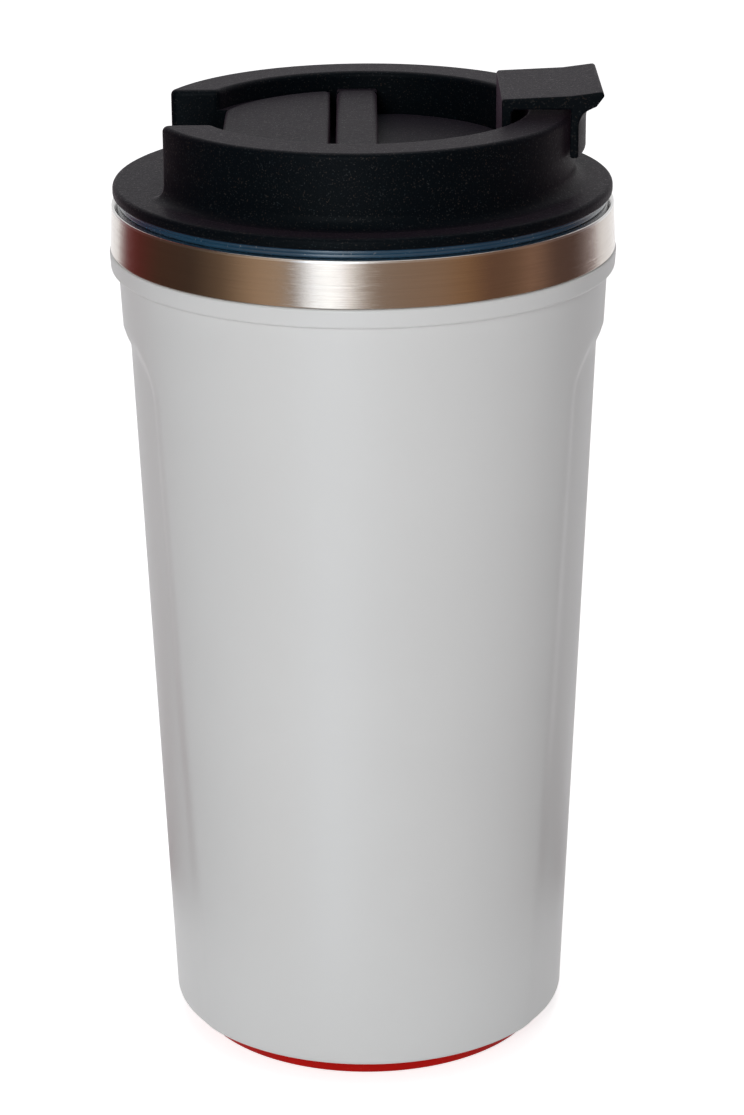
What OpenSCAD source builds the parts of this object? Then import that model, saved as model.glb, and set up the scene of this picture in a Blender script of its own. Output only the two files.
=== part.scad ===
// Insulated travel mug with a screw lid, a flip-over sealing lever and a suction base.
// Millimetres, +Z up, origin on the table under the mug's axis.
// The lever lies towards +X, the notch that it flips into is at -X, and its hinge runs along Y.

/* [Body] */
// Height of the steel rim above the table
mug_h = 156.6; // [135:0.1:190]
// Outer diameter of the shell's lip, the widest part
lip_d = 90; // [84:0.5:108]
// Height of the shell's lip
lip_h = 3.4; // [2.5:0.1:6]
// How far the lip stands out from the shell
lip_step = 1.5; // [0.5:0.1:2]
// Outer diameter of the shell at its foot
foot_d = 73.6; // [64:0.5:88]
// Height of the shell's lower edge above the table
foot_gap = 3.6; // [3:0.1:5]
// Thickness of the shell where a grip is cut into it
shell_wall = 1.25; // [1:0.05:2]

/* [Grips] */
// Width of each grip recess
grip_w = 42; // [30:1:48]
// Depth of a grip at its top
grip_depth = 1.15; // [0.5:0.05:1.6]
// Depth of a grip at the shell's foot
grip_foot_depth = 0.33; // [0.1:0.01:0.6]
// Distance from the lip's underside down to a grip's top edge
grip_drop = 12; // [8:0.5:30]
// Radius of a grip's two upper corners
grip_corner_r = 8; // [3:0.5:14]

/* [Steel vessel] */
// Height of the bare steel band between lip and rim
band_h = 8.3; // [5:0.1:14]
// How much the band narrows from lip to rim, on the radius
band_draft = 0.4; // [0:0.05:1]
// Thickness of the steel
steel_t = 0.5; // [0.4:0.05:0.8]
// Width of the rim, from the lip's outside to the mouth's bore
rim_w = 6.4; // [6:0.1:9]
// Depth of the mouth's straight part
mouth_depth = 15.6; // [15.2:0.1:22]
// Height over which the mouth narrows into the cup
shoulder_h = 7; // [4:0.5:12]
// Space between the two steel walls
vacuum_gap = 1.8; // [1.2:0.1:3]
// Height of the cup's inner floor above the table
cup_floor_z = 17; // [16.9:0.1:30]
// Fillet between the cup's wall and its floor
cup_fillet = 7; // [3:0.5:14]

/* [Screw thread] */
// Number of thread starts
thread_starts = 3; // [2:1:3]
// Rise of the lid in one full turn
thread_lead = 12; // [11.5:0.5:16]
// Height of one thread rib at its root
rib_h = 1.7; // [1.2:0.1:1.8]
// Arc covered by each rib in the mouth, in degrees
mouth_rib_arc = 66; // [40:2:80]
// Arc covered by each rib on the lid, in degrees
lid_rib_arc = 48; // [30:2:70]

/* [Lid] */
// How far the flange's edge lies inside the lip's
flange_inset = 0.8; // [0:0.1:1.6]
// Thickness of the flange
flange_t = 2; // [1.6:0.1:3]
// Outer diameter of the collar
collar_d = 75.2; // [72:0.2:80]
// Wall of the collar
collar_wall = 8.4; // [6.4:0.1:9]
// Height of the collar above the flange
collar_h = 12.8; // [12:0.1:16]
// Fillet between the collar and the flange
collar_fillet = 2.4; // [1:0.1:3]
// Width of the notch that takes the opened lever
notch_w = 27.6; // [26.6:0.2:34]
// Rise of the well's floor above the flange
well_step = 1.8; // [1:0.1:2.5]
// Thickness of the moulded lid walls
lid_wall = 2; // [1.6:0.1:2.4]
// Width of the ledge round the deck
ledge_w = 2.8; // [2:0.1:3.5]
// Depth of the ledge below the collar's top
ledge_drop = 3.6; // [3:0.1:5]
// Depth of the deck's top below the collar's top
deck_drop = 2.6; // [2.4:0.1:3.4]
// Distance from the axis to the deck's edge at the notch
deck_reach = 24.3; // [22:0.1:24.5]
// Depth of the lid's plug below the rim
plug_depth = 13.6; // [12:0.1:15]
// Thickness of the plug's wall
plug_wall = 1.4; // [1.2:0.1:2]
// Thickness of the lid gasket
gasket_t = 1.6; // [1.2:0.1:2.4]
// How far the gasket's edge lies inside the flange's
gasket_inset = 0.8; // [0.4:0.1:2]

/* [Drink opening] */
// Length of the drink opening, along Y
drink_l = 14; // [10:0.5:18]
// Width of the drink opening, along X
drink_w = 8; // [6:0.5:9]
// Distance from the mug's axis to the drink opening's middle
drink_x = 18.5; // [16:0.5:20]
// Diameter of the air vent
vent_d = 2.6; // [2:0.1:3.4]
// Distance from the mug's axis to the air vent
vent_x = 8.2; // [7.5:0.1:9]

/* [Lever] */
// Distance of the hinge axis behind the mug's axis
hinge_back = 0.9; // [0.5:0.1:1.2]
// Depth of the hinge axis below the deck's top
hinge_drop = 2.1; // [2:0.1:2.6]
// Width of the hinge ridge across the lid
ridge_w = 7.3; // [6.6:0.1:7.6]
// Diameter of the hinge pin
pin_d = 2; // [1.6:0.1:2.2]
// Width of the lever's arch
arch_w = 25; // [18:0.5:26]
// Thickness of the arch's top plate
arch_t = 1.9; // [1.6:0.1:2.4]
// Air between the collar's top and the arch
arch_clear = 1.7; // [0.6:0.1:2.2]
// Thickness of the arch's inner leg
inner_leg_t = 1.6; // [1.4:0.1:2]
// Thickness of the arch's outer leg
outer_leg_t = 1.4; // [1.2:0.1:2]
// How far the outer leg reaches down past the collar's top
outer_leg_drop = 6.9; // [4:0.1:8]
// How far the thumb lip stands out from the outer leg
thumb_lip = 2.4; // [1:0.1:2.6]
// Thickness of the lever's sealing plate
plate_t = 2; // [1.6:0.1:2.2]
// Air between the plate and the deck once the lever is flipped over
open_clear = 0.4; // [0.35:0.05:0.6]

/* [Suction base] */
// Diameter of the suction pad on the table
pad_d = 64.4; // [54:0.2:68]
// Depth of the pad's hollow underside
pad_hollow = 1.2; // [0.8:0.1:1.4]
// Free lift of the mug before the pad follows it
pad_travel = 1.5; // [1:0.1:1.8]
// Diameter of the pad's guide hub
hub_d = 18; // [14:0.5:22]
// Diameter of the pad's vent bore
valve_bore_d = 5; // [3:0.2:7]
// Thickness of the base cap
cap_t = 2.2; // [1.8:0.1:3]
// Distance from the axis to the base screws
screw_ring_r = 29; // [27:0.2:30]
// Number of base screws
screw_count = 3; // [3:1:6]

/* [Fits] */
// Gap between parts that are fitted together
fit_gap = 0.1; // [0.05:0.01:0.15]
// Gap between parts that move past each other
move_gap = 0.35; // [0.3:0.05:0.5]
// Radial gap of a pin that turns in its bore
run_gap = 0.06; // [0.02:0.01:0.09]

/* [Hidden] */
$fn = 96;
eps = 0.01;
// Overlap that joins two solids of one piece
weld = 0.3;

// Heights of the body
rim_z = mug_h;
lip_top_z = rim_z - band_h;
lip_low_z = lip_top_z - lip_h;
grip_top_z = lip_low_z - grip_drop;
lip_r = lip_d / 2;
neck_r = lip_r - lip_step;
foot_r = foot_d / 2;

// Radius of the shell's outside, of a grip's floor and of the shell's inside at a height
function shell_r(z) = foot_r + (neck_r - foot_r) * (z - foot_gap) / (lip_low_z - foot_gap);
function grip_cut(z) = grip_foot_depth
    + (grip_depth - grip_foot_depth) * (z - foot_gap) / (grip_top_z - foot_gap);
function grip_r(z) = shell_r(z) - grip_cut(z);
function bore_r(z) = grip_r(z) - shell_wall;

// Radius of the steel jacket's outside and of the cup's outside at a height
jacket_gap = 0.3;
function jacket_r(z) = bore_r(z) - jacket_gap;
function cup_r(z) = jacket_r(z) - steel_t - vacuum_gap;
floor_gap = 2.4;
band_low_r = lip_r - 0.15;
band_top_r = band_low_r - band_draft;
mouth_r = lip_r - rim_w;
mouth_low_z = rim_z - mouth_depth;
cup_top_z = mouth_low_z - shoulder_h;
getter_r = 4;
getter_t = 1.2;
getter_x = 9;
cushion_r = 16;
cushion_bore_r = 8;

// Neck seal, in a groove of the shell
neck_seal_z = lip_low_z - 1.5;
neck_seal_w = 0.9;
neck_seal_h = 2;

// Heights of the suction base
pad_rim_t = 3.5;
carrier_t = 1.5;
carrier_rim = 12;
cap_low_z = foot_gap + 0.6;
cap_top_z = cap_low_z + cap_t;
cap_r = bore_r(cap_low_z) - fit_gap;
clip_t = 1;
clip_low_z = cap_top_z + pad_travel;
hub_top_z = clip_low_z + clip_t + 0.5;
hub_r = hub_d / 2;
clip_r = hub_r + 2.5;
clip_groove = 1;
valve_r = valve_bore_d / 2 + 1.2;
valve_tip_r = valve_bore_d / 2 - 0.5;
valve_t = 1.2;
bridge_low_z = hub_top_z + valve_t;
bridge_t = 1.2;
bridge_post_r = 2.2;
bridge_ring_r = clip_r + move_gap + bridge_post_r + 1;
bridge_top_z = bridge_low_z + bridge_t;
jacket_base_z = cup_floor_z - steel_t - floor_gap - steel_t;
screw_r = 1.25;
screw_head_r = 2.3;
screw_head_t = 1.4;
screw_slot_l = 2.6;
screw_slot_w = 0.6;
screw_l = 7;
boss_r = 3.2;
boss_top_z = cap_top_z + screw_l - cap_t + screw_head_t;

// Heights and radii of the lid
flange_low_z = rim_z + gasket_t;
flange_top_z = flange_low_z + flange_t;
collar_top_z = flange_top_z + collar_h;
flange_r = lip_r - flange_inset;
collar_r = collar_d / 2;
well_r = collar_r - collar_wall;
well_floor_z = flange_top_z + well_step;
ledge_r = well_r - ledge_w;
ledge_top_z = collar_top_z - ledge_drop;
deck_top_z = collar_top_z - deck_drop;
deck_r = ledge_r - move_gap;
rib_gap = 0.25;
thread_cover = 0.65;
plug_r = mouth_r - rib_gap - thread_cover - 0.4;
plug_low_z = rim_z - plug_depth;
spigot_h = 4;
spigot_wall = 1.6;

// The hinge, and the lever's heights and reach
hinge_x = -hinge_back;
hinge_z = deck_top_z - hinge_drop;
pin_r = pin_d / 2;
ridge_half = ridge_w / 2;
ridge_half_l = ledge_r - move_gap;
ridge_edge = 1.2;
slot_w = 1.25;
deck_edge_x = hinge_x - ridge_half - slot_w;
plate_top_z = hinge_z - hinge_drop - open_clear;
plate_low_z = plate_top_z - plate_t;
plate_r = well_r - 2 * hinge_back - move_gap;
arch_low_z = collar_top_z + arch_clear;
arch_top_z = arch_low_z + arch_t;
arch_half = arch_w / 2;
inner_leg_x = sqrt(pow(well_r, 2) - pow(arch_half, 2)) - inner_leg_t - 0.7;
leg_in_r = collar_r + move_gap;
leg_out_r = leg_in_r + outer_leg_t;
tip_x = leg_out_r + thumb_lip;
leg_low_z = collar_top_z - outer_leg_drop;
saddle_l = well_r - ridge_half_l - move_gap;
nub_r = 1.2;
nub_h = 1;
seat_lift = 0.1;

// The ribs of the thread. A lid rib lies under a mouth rib, with the same lead.
rib_flat = 0.7;
lid_rib_z = rim_z - 7;
mouth_rib_z = lid_rib_z + rib_h + 0.15;

// Points of an arc from angle a to angle b
function arc(x, y, r, a, b, n = 6) =
    [for (i = [0:n]) [x + r * cos(a + (b - a) * i / n), y + r * sin(a + (b - a) * i / n)]];

// A slot with round ends, long along Y, its middle at x
module slot_2d(x, l, w, grow = 0) {
    half = (l - w) / 2;
    translate([x, 0]) {
        for (side = [-1, 1]) translate([0, side * half]) circle(w / 2 + grow);
        square([w + 2 * grow, 2 * half], center = true);
    }
}

// A flat ring
module ring(r_out, r_in, low, high) {
    translate([0, 0, low]) difference() {
        cylinder(r = r_out, h = high - low);
        translate([0, 0, -1]) cylinder(r = r_in, h = high - low + 2);
    }
}

// One helical rib, rooted at r_root and ending at r_tip, from the angle start over arc_deg
module helix_rib(r_root, r_tip, low, start, arc_deg) {
    steps = 12;
    inset = (rib_h - rib_flat) / 2;
    section = [[r_root, 0], [r_tip, inset], [r_tip, rib_h - inset], [r_root, rib_h]];
    pts = [for (i = [0:steps], p = section)
           let (turn = arc_deg * i / steps)
           [p[0] * cos(start + turn), p[0] * sin(start + turn),
            low + p[1] + thread_lead * turn / 360]];
    outward = r_tip > r_root;
    sides = [for (i = [0:steps - 1], j = [0:3])
             let (a = 4 * i + j, b = 4 * i + (j + 1) % 4)
             outward ? [a, b, b + 4, a + 4] : [a + 4, b + 4, b, a]];
    last = 4 * steps;
    ends = outward ? [[3, 2, 1, 0], [last, last + 1, last + 2, last + 3]]
                   : [[0, 1, 2, 3], [last + 3, last + 2, last + 1, last]];
    polyhedron(points = pts, faces = concat(sides, ends), convexity = 4);
}

module helix_ribs(r_root, r_tip, low, arc_deg) {
    for (k = [0:thread_starts - 1]) helix_rib(r_root, r_tip, low, 360 * k / thread_starts, arc_deg);
}

// Places its children at each base screw
module at_screws() {
    for (k = [0:screw_count - 1])
        rotate(90 + 360 * k / screw_count) translate([screw_ring_r, 0, 0]) children();
}

// ---- Body ----

module grip_cutter() {
    far = lip_r + 5;
    difference() {
        rotate([90, 0, 90]) linear_extrude(far) hull() {
            for (side = [-1, 1])
                translate([side * (grip_w / 2 - grip_corner_r), grip_top_z - grip_corner_r])
                    circle(grip_corner_r, $fn = 32);
            translate([-grip_w / 2, 0]) square([grip_w, 1]);
        }
        rotate_extrude() polygon([[0, -1], [grip_r(-1), -1], [grip_r(lip_top_z), lip_top_z],
                                  [0, lip_top_z]]);
    }
}

module outer_shell() {
    edge = 0.8;
    lip_edge = 0.5;
    groove_r = bore_r(neck_seal_z) + neck_seal_w - 0.2;
    color("whitesmoke") union() {
        difference() {
            rotate_extrude() polygon(concat(
                [[bore_r(foot_gap), foot_gap]],
                arc(shell_r(foot_gap) - edge, foot_gap + edge, edge, -90, 0),
                [[neck_r, lip_low_z]],
                arc(lip_r - lip_edge, lip_low_z + lip_edge, lip_edge, -90, 0),
                [[lip_r, lip_top_z - 0.2], [lip_r - 0.2, lip_top_z],
                 [bore_r(lip_top_z), lip_top_z]]));
            grip_cutter();
            mirror([1, 0, 0]) grip_cutter();
            ring(groove_r, 1, neck_seal_z - neck_seal_h / 2, neck_seal_z + neck_seal_h / 2);
        }
        screw_bosses();
    }
}

// Screw bosses that grow from the shell's wall, with pilot holes for the base screws
module screw_bosses() {
    difference() {
        intersection() {
            at_screws() translate([0, 0, cap_top_z]) union() {
                cylinder(r = boss_r, h = boss_top_z - cap_top_z);
                translate([0, -boss_r, 0]) cube([20, 2 * boss_r, boss_top_z - cap_top_z]);
            }
            cylinder(r1 = bore_r(0) + weld, r2 = bore_r(2 * boss_top_z) + weld, h = 2 * boss_top_z);
        }
        at_screws() translate([0, 0, cap_top_z - 1]) cylinder(r = screw_r, h = screw_l);
    }
}

module neck_seal() {
    color("dimgray") ring(jacket_r(neck_seal_z) + neck_seal_w, jacket_r(neck_seal_z - 1) + fit_gap,
                          neck_seal_z - neck_seal_h / 2 + fit_gap, neck_seal_z + neck_seal_h / 2 - fit_gap);
}

// Inner wall of the vacuum vessel, with the rim and the rolled thread in its mouth
module inner_cup() {
    t = steel_t;
    low = cup_floor_z - t;
    fillet_out = cup_fillet + t;
    rim_edge = 0.25;
    bottom_r = cup_r(cup_floor_z);
    color("silver") union() {
        rotate_extrude() polygon(concat(
            [[0, low]],
            arc(bottom_r - fillet_out, low + fillet_out, fillet_out, -90, 0),
            [[cup_r(cup_top_z), cup_top_z], [mouth_r + t, mouth_low_z], [mouth_r + t, rim_z - t],
             [band_top_r, rim_z - t]],
            arc(band_top_r - rim_edge, rim_z - rim_edge, rim_edge, 0, 90, 3),
            arc(mouth_r + rim_edge, rim_z - rim_edge, rim_edge, 90, 180, 3),
            [[mouth_r, mouth_low_z], [cup_r(cup_top_z) - t, cup_top_z]],
            arc(bottom_r - fillet_out, low + fillet_out, cup_fillet, 0, -90),
            [[0, cup_floor_z]]));
        helix_ribs(mouth_r + weld, plug_r + 0.4, mouth_rib_z, mouth_rib_arc);
    }
}

// Outer wall of the vacuum vessel: the bare band above the lip, and the jacket inside the shell
module outer_cup_wall() {
    t = steel_t;
    top = rim_z - t;
    color("silver") rotate_extrude() polygon([
        [jacket_r(jacket_base_z), jacket_base_z], [jacket_r(lip_top_z), lip_top_z],
        [band_low_r - 0.3, lip_top_z], [band_low_r, lip_top_z + 0.3], [band_top_r, top],
        [band_top_r - t, top], [band_low_r - t, lip_top_z + t],
        [jacket_r(lip_top_z) - t, lip_top_z + t], [jacket_r(jacket_base_z) - t, jacket_base_z]]);
}

// Disc that closes the vacuum jacket, dished where it is pumped out
module outer_cup_base() {
    r = jacket_r(jacket_base_z) - steel_t - 0.02;
    dish_r = r * 0.6;
    t = steel_t;
    color("silver") rotate_extrude() polygon([
        [0, jacket_base_z + t], [dish_r, jacket_base_z + t], [dish_r + 1, jacket_base_z],
        [r, jacket_base_z], [r, jacket_base_z + t], [dish_r + 1 + t, jacket_base_z + t],
        [dish_r + t, jacket_base_z + 2 * t], [0, jacket_base_z + 2 * t]]);
}

module vacuum_getter() {
    color("dimgray") translate([getter_x, 0, jacket_base_z + 2 * steel_t])
        cylinder(r = getter_r, h = getter_t);
}

// Foam ring that the vessel sits on
module vessel_cushion() {
    color("slategray") ring(cushion_r, cushion_bore_r, bridge_top_z, jacket_base_z + steel_t);
}

// ---- Suction base ----

module base_cap() {
    color("whitesmoke") union() {
        difference() {
            translate([0, 0, cap_low_z]) cylinder(r = cap_r, h = cap_t);
            translate([0, 0, cap_low_z - 1]) cylinder(r = hub_r + move_gap, h = cap_t + 2);
            at_screws() {
                translate([0, 0, cap_low_z - 1]) cylinder(r = screw_r + fit_gap, h = cap_t + 2);
                translate([0, 0, cap_low_z - 1]) cylinder(r = screw_head_r + fit_gap, h = 1 + screw_head_t);
            }
        }
        at_bridge_posts() translate([0, 0, cap_top_z - weld])
            cylinder(r = bridge_post_r, h = bridge_low_z - cap_top_z + weld);
        at_bridge_posts() translate([0, 0, bridge_low_z - weld])
            cylinder(r = bridge_post_r / 2, h = bridge_t + weld - fit_gap);
    }
}

module at_bridge_posts() {
    for (k = [0:2]) rotate(30 + 120 * k) translate([bridge_ring_r, 0, 0]) children();
}

module base_screws() {
    head_low = cap_low_z;
    color("silver") at_screws() union() {
        difference() {
            translate([0, 0, head_low]) cylinder(r = screw_head_r, h = screw_head_t);
            for (a = [0, 90]) rotate(a) translate([-screw_slot_l / 2, -screw_slot_w / 2, head_low - 1])
                cube([screw_slot_l, screw_slot_w, 1.8]);
        }
        translate([0, 0, head_low + screw_head_t - 0.1])
            cylinder(r = screw_r - 0.05, h = screw_l - screw_head_t - 0.5);
    }
}

// Plate over the hub that carries the vent valve
module valve_bridge() {
    color("dimgray") difference() {
        union() {
            translate([0, 0, bridge_low_z]) cylinder(r = bridge_ring_r - bridge_post_r, h = bridge_t);
            at_bridge_posts() translate([0, 0, bridge_low_z]) cylinder(r = bridge_post_r + 0.8, h = bridge_t);
        }
        at_bridge_posts() translate([0, 0, bridge_low_z - 1])
            cylinder(r = bridge_post_r / 2 + fit_gap, h = bridge_t + 2);
        translate([0, 0, bridge_low_z - 1]) cylinder(r = valve_tip_r + fit_gap, h = bridge_t + 2);
    }
}

// Silicone tip that closes the pad's vent bore while the mug rests on the pad
module vent_valve() {
    color("firebrick") union() {
        translate([0, 0, hub_top_z]) cylinder(r = valve_r, h = valve_t);
        translate([0, 0, hub_top_z - 1]) cylinder(r1 = valve_tip_r - 0.5, r2 = valve_tip_r, h = 1 + eps);
        translate([0, 0, bridge_low_z - eps]) cylinder(r = valve_tip_r, h = bridge_t);
    }
}

module suction_pad() {
    r = pad_d / 2;
    color("red") rotate_extrude() polygon(concat(
        [[valve_bore_d / 2, pad_hollow + 0.4], [r - 3.6, pad_hollow], [r - 1.6, 0], [r - 0.3, 0]],
        arc(r - 0.1, 0.5, 0.5, -80, 0, 3),
        arc(r + 0.2, pad_rim_t - 0.6, 0.6, 0, 90, 4),
        [[hub_r + carrier_rim, pad_rim_t], [hub_r + carrier_rim, cap_low_z - carrier_t],
         [valve_bore_d / 2, cap_low_z - carrier_t]]));
}

// Rigid disc and guide hub moulded onto the pad
module pad_carrier() {
    disc_r = hub_r + carrier_rim - fit_gap;
    color("dimgray") difference() {
        union() {
            translate([0, 0, cap_low_z - carrier_t]) cylinder(r = disc_r, h = carrier_t);
            translate([0, 0, cap_low_z - weld]) cylinder(r = hub_r, h = hub_top_z - cap_low_z + weld);
        }
        translate([0, 0, cap_low_z - carrier_t - 1]) cylinder(r = valve_bore_d / 2, h = 20);
        ring(hub_r + 1, hub_r - clip_groove, clip_low_z - 0.02, clip_low_z + clip_t + 0.02);
    }
}

// Open ring that snaps into the hub's groove and stops its travel
module retaining_clip() {
    color("silver") difference() {
        ring(clip_r, hub_r - clip_groove + 0.05, clip_low_z, clip_low_z + clip_t);
        translate([0, -2.5, clip_low_z - 1]) cube([20, 5, clip_t + 2]);
    }
}

// ---- Lid ----

module lid_gasket() {
    r_out = flange_r - gasket_inset;
    r_in = plug_r + fit_gap;
    color("midnightblue") rotate_extrude() polygon(concat(
        [[r_in, rim_z], [r_out - 0.5, rim_z]],
        arc(r_out - 0.5, rim_z + 0.5, 0.5, -90, 0, 4),
        arc(r_out - 0.4, flange_low_z - 0.4, 0.4, 0, 90, 4),
        [[r_in, flange_low_z]]));
}

// The notch in collar, ledge and well floor, open towards -X
module notch_space(grow = 0) {
    translate([-flange_r - 1, -notch_w / 2 - grow, flange_top_z - grow])
        cube([flange_r + 1 - deck_reach - 0.3 + grow, notch_w + 2 * grow, collar_h + 2 * grow + 1]);
}

// Flange, collar, well floor, ledge and hinge saddles, in one moulding
module lid_top() {
    edge = 0.9;
    core_in = well_r + lid_wall;
    core_out = collar_r - lid_wall;
    color([0.16, 0.14, 0.16]) difference() {
        union() {
            rotate_extrude() polygon(concat(
                [[0, flange_low_z]],
                arc(flange_r - 0.4, flange_low_z + 0.4, 0.4, -90, 0, 3),
                arc(flange_r - edge, flange_top_z - edge, edge, 0, 90),
                arc(collar_r + collar_fillet, flange_top_z + collar_fillet, collar_fillet, -90, -180),
                arc(collar_r - edge, collar_top_z - edge, edge, 0, 90),
                arc(well_r + edge, collar_top_z - edge, edge, 90, 180),
                [[well_r, well_floor_z], [0, well_floor_z]]));
            ring(plug_r - plug_wall - fit_gap, plug_r - plug_wall - fit_gap - spigot_wall,
                 flange_low_z - spigot_h, flange_low_z + weld);
            ledge();
            for (side = [-1, 1]) scale([1, side, 1]) saddle();
        }
        notch_space();
        // Cored-out underside of the collar
        difference() {
            ring(core_out, core_in, flange_low_z - 1, collar_top_z - lid_wall);
            notch_space(lid_wall + 1);
        }
        // Cored-out underside of the well
        difference() {
            translate([0, 0, flange_low_z - 1])
                cylinder(r = well_r - lid_wall, h = 1 + flange_t + well_step - lid_wall);
            translate([-flange_r, -flange_r, flange_low_z - 2])
                cube([flange_r - deck_reach + lid_wall, 2 * flange_r, 9]);
        }
        translate([0, 0, flange_low_z - 1]) linear_extrude(10) slot_2d(drink_x, drink_l, drink_w);
        translate([vent_x, 0, flange_low_z - 1]) cylinder(r = vent_d / 2, h = 10);
    }
}

// Ledge round the deck, on the notch side of the hinge
module ledge() {
    intersection() {
        ring(well_r + weld, ledge_r, well_floor_z - weld, ledge_top_z);
        translate([-flange_r, -flange_r, 0]) cube([flange_r + deck_edge_x, 2 * flange_r, collar_top_z]);
    }
}

// Saddle that holds one end of the hinge pin, open at the top so that the pin snaps in
module saddle() {
    seat_r = pin_r + 0.02;
    y0 = ridge_half_l + move_gap;
    difference() {
        intersection() {
            translate([hinge_x - ridge_half, y0, well_floor_z - weld])
                cube([ridge_w, saddle_l + weld, hinge_z + pin_r + 0.6 - well_floor_z + weld]);
            cylinder(r = well_r + weld, h = collar_top_z);
        }
        translate([hinge_x, y0 - 1, hinge_z]) rotate([-90, 0, 0])
            cylinder(r = seat_r, h = saddle_l + 1);
        translate([hinge_x - pin_r + 0.15, y0 - 1, hinge_z]) cube([pin_d - 0.3, saddle_l + 1, 9]);
    }
}

// Threaded plug under the lid, with the drink duct and the vent tube
module lid_plug() {
    duct_wall = 1.5;
    duct_top_z = well_floor_z - lid_wall;
    color([0.2, 0.19, 0.2]) difference() {
        union() {
            rotate_extrude() polygon([
                [0, plug_low_z], [plug_r - 1, plug_low_z], [plug_r, plug_low_z + 1],
                [plug_r, flange_low_z], [plug_r - plug_wall, flange_low_z],
                [plug_r - plug_wall, plug_low_z + plug_wall], [0, plug_low_z + plug_wall]]);
            helix_ribs(plug_r - weld, mouth_r - rib_gap, lid_rib_z, lid_rib_arc);
            translate([0, 0, plug_low_z + weld]) linear_extrude(duct_top_z - plug_low_z - weld)
                slot_2d(drink_x, drink_l, drink_w, duct_wall);
            translate([vent_x, 0, plug_low_z + weld])
                cylinder(r = vent_d / 2 + 1.2, h = duct_top_z - plug_low_z - weld);
        }
        translate([0, 0, plug_low_z - 1]) linear_extrude(30) slot_2d(drink_x, drink_l, drink_w);
        translate([vent_x, 0, plug_low_z - 1]) cylinder(r = vent_d / 2, h = 30);
    }
}

// Half-round outline of the deck, drawn in by inset
module deck_2d(inset = 0) {
    intersection() {
        circle(deck_r - inset);
        translate([-deck_reach + inset, -deck_r]) square([deck_reach + deck_edge_x - 2 * inset, 2 * deck_r]);
    }
}

// Hollow half-round cover beside the hinge
module deck_cover() {
    wall = 1.5;
    roof = 1.8;
    color([0.17, 0.15, 0.17]) difference() {
        translate([0, 0, well_floor_z]) linear_extrude(deck_top_z - well_floor_z) deck_2d();
        translate([0, 0, well_floor_z - 1]) linear_extrude(deck_top_z - well_floor_z + 1 - roof)
            deck_2d(wall);
    }
}

module hinge_pin() {
    half = well_r - move_gap;
    color("silver") translate([hinge_x, -half, hinge_z]) rotate([-90, 0, 0])
        cylinder(r = pin_r, h = 2 * half);
}

// ---- Lever ----

// Outline of the hinge ridge and its web, in X and Z about the hinge axis
module ridge_2d() {
    top = hinge_drop;
    low = plate_low_z - hinge_z;
    e = ridge_edge;
    polygon(concat(
        arc(ridge_half - e, top - e, e, 0, 90, 4),
        arc(-ridge_half + e, top - e, e, 90, 180, 4),
        arc(-ridge_half + 2.4, -1.4, 2.4, 180, 270, 5),
        [[0, -3.8], [0, low], [ridge_half, low]]));
}

// Outline of the arch's roof and thumb lip, in X and Z
module arch_2d() {
    slope = 0.5;
    lip_t = 1.2;
    drop = 5;
    tip_z = arch_top_z + slope + 0.6;
    polygon(concat(
        [[inner_leg_x, arch_low_z - eps], [inner_leg_x, arch_top_z - 0.5], [inner_leg_x + 0.5, arch_top_z],
         [leg_out_r - 2, arch_top_z + slope], [tip_x - 0.6, tip_z]],
        arc(tip_x - lip_t / 2, tip_z - lip_t / 2, lip_t / 2, 60, -60, 4),
        arc(tip_x + 1.6, arch_low_z - 3.4, thumb_lip + 1.9, 122, 174, 6),
        [[leg_out_r - outer_leg_t / 2, arch_low_z - drop], [leg_out_r - outer_leg_t / 2, arch_low_z - eps]]));
}

module flip_lever() {
    color([0.18, 0.16, 0.18]) difference() {
        union() {
            // Hinge ridge and web
            translate([hinge_x, ridge_half_l, hinge_z]) rotate([90, 0, 0]) linear_extrude(2 * ridge_half_l)
                ridge_2d();
            // Sealing plate
            intersection() {
                translate([0, 0, plate_low_z]) cylinder(r = plate_r, h = plate_t);
                translate([hinge_x, -ridge_half_l, plate_low_z - 1])
                    cube([2 * plate_r, 2 * ridge_half_l, plate_t + 2]);
            }
            // Inner leg
            translate([inner_leg_x, -arch_half, plate_low_z + weld])
                cube([inner_leg_t, arch_w, arch_top_z - plate_low_z - weld - 0.5]);
            arch_roof();
            // Outer leg, which follows the collar
            intersection() {
                ring(leg_out_r, leg_in_r, leg_low_z, arch_low_z + weld);
                translate([0, -arch_half, 0]) cube([tip_x, arch_w, 2 * collar_top_z]);
            }
        }
        translate([hinge_x, -well_r, hinge_z]) rotate([-90, 0, 0])
            cylinder(r = pin_r + run_gap, h = 2 * well_r);
        at_stopper_nubs() translate([0, 0, plate_low_z - 1]) cylinder(r = nub_r + 0.02, h = 2.2);
    }
}

// Roof and thumb lip, kept clear of the collar
module arch_roof() {
    difference() {
        translate([0, arch_half, 0]) rotate([90, 0, 0]) linear_extrude(arch_w) arch_2d();
        translate([0, 0, leg_low_z - 5]) cylinder(r = leg_in_r, h = arch_low_z - leg_low_z + 5);
    }
}

module at_stopper_nubs() {
    for (side = [-1, 1]) translate([drink_x, side * drink_l / 3, 0]) children();
    translate([vent_x, 0, 0]) children();
}

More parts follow.
